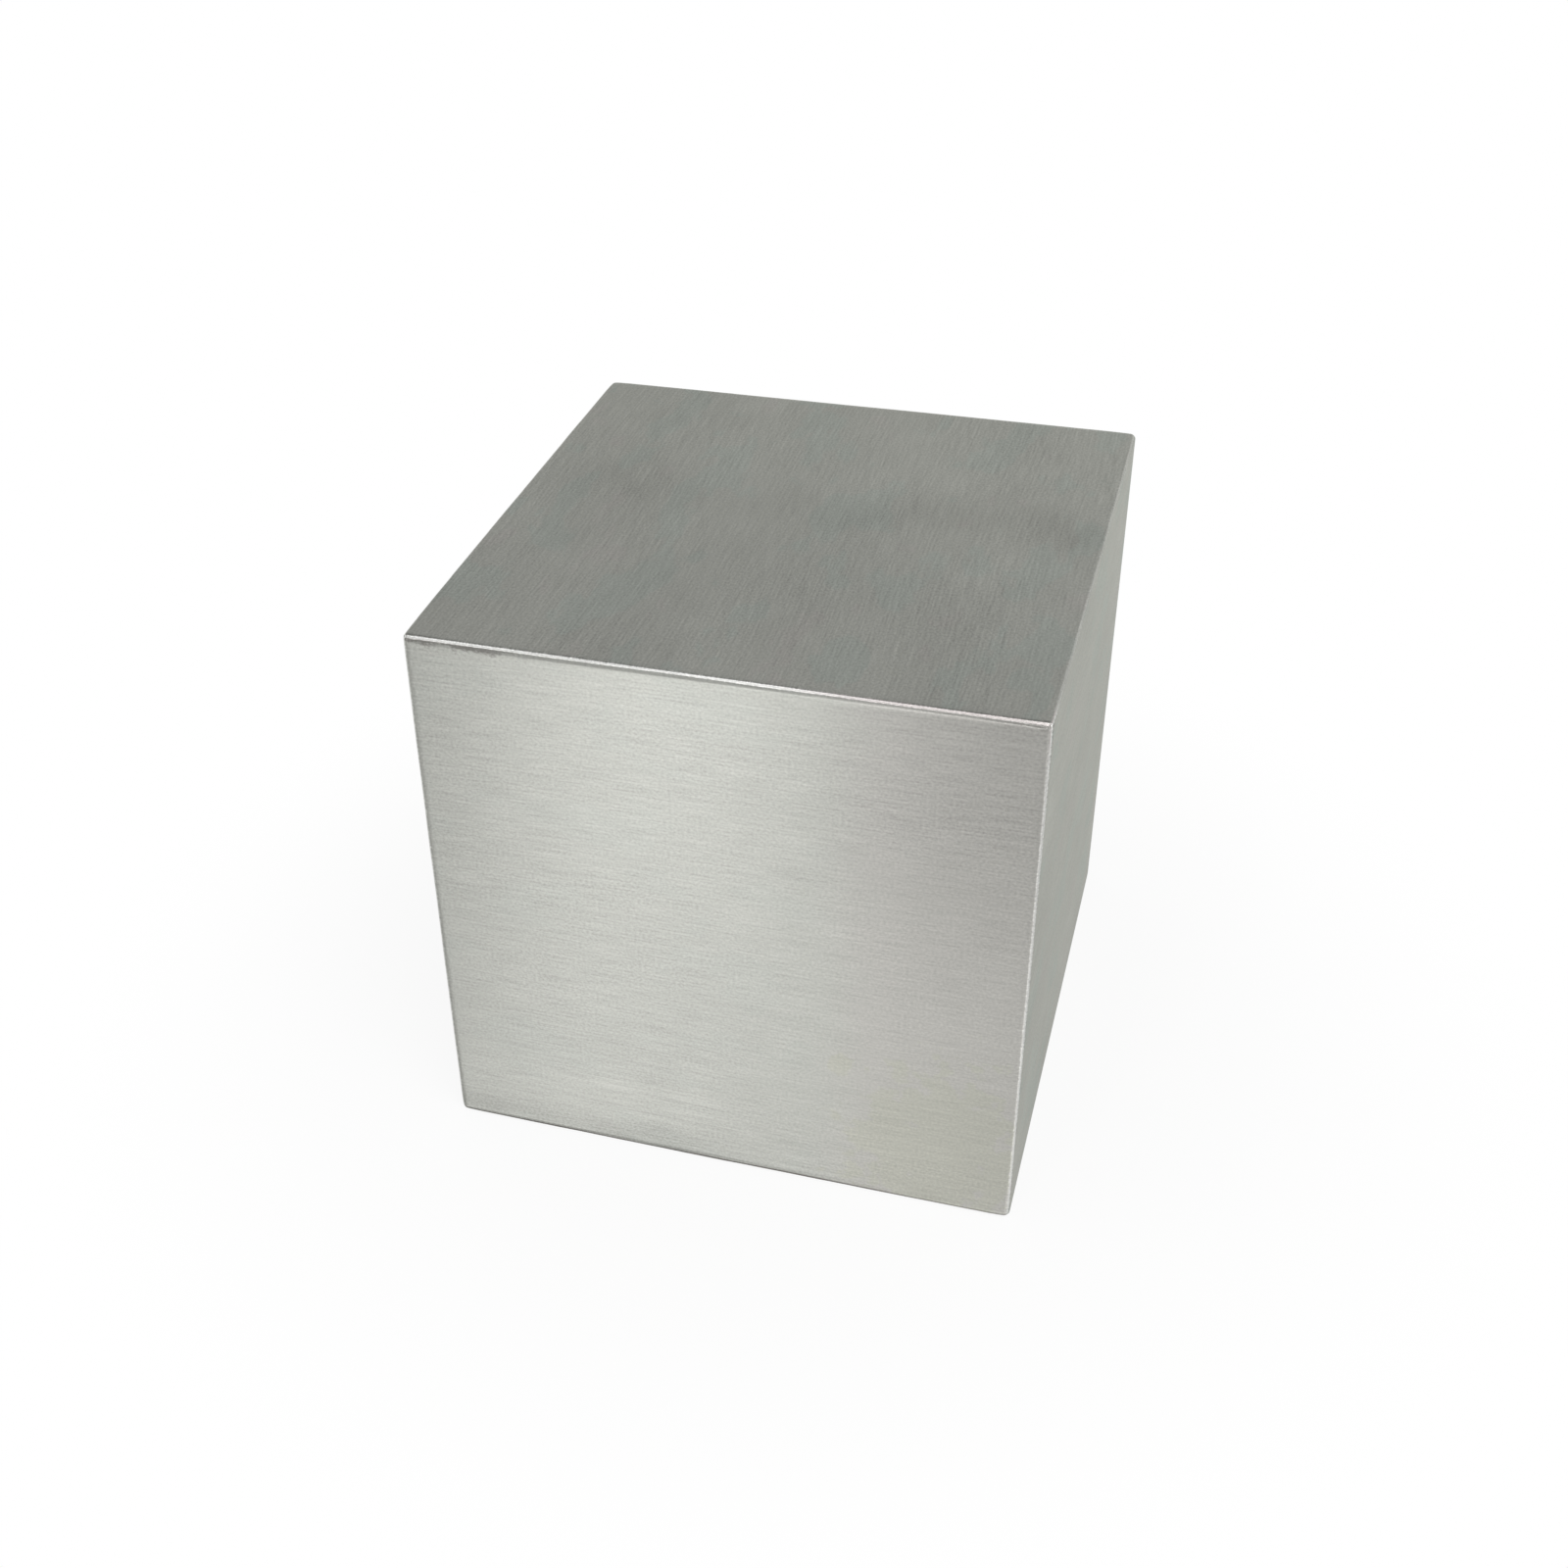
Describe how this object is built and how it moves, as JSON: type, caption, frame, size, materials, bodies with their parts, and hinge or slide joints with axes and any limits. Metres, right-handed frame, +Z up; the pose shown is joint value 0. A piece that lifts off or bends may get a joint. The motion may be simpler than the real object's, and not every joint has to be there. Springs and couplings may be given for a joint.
{
  "type": "magnesium cube",
  "caption": "Solid cube of magnesium metal with brushed faces and lightly rounded edges; stands on any face as a desk piece, density sample or weight.",
  "frame": {"origin": "centre of the base face", "axes": "+Z up through the top face, -Y out of the front face, +X out of the right face"},
  "size_m": [0.0508, 0.0508, 0.0508],
  "materials": {
    "magnesium": "brushed"
  },
  "bodies": {
    "root": {"magnesium_cube": "magnesium"}
  },
  "joints": []
}
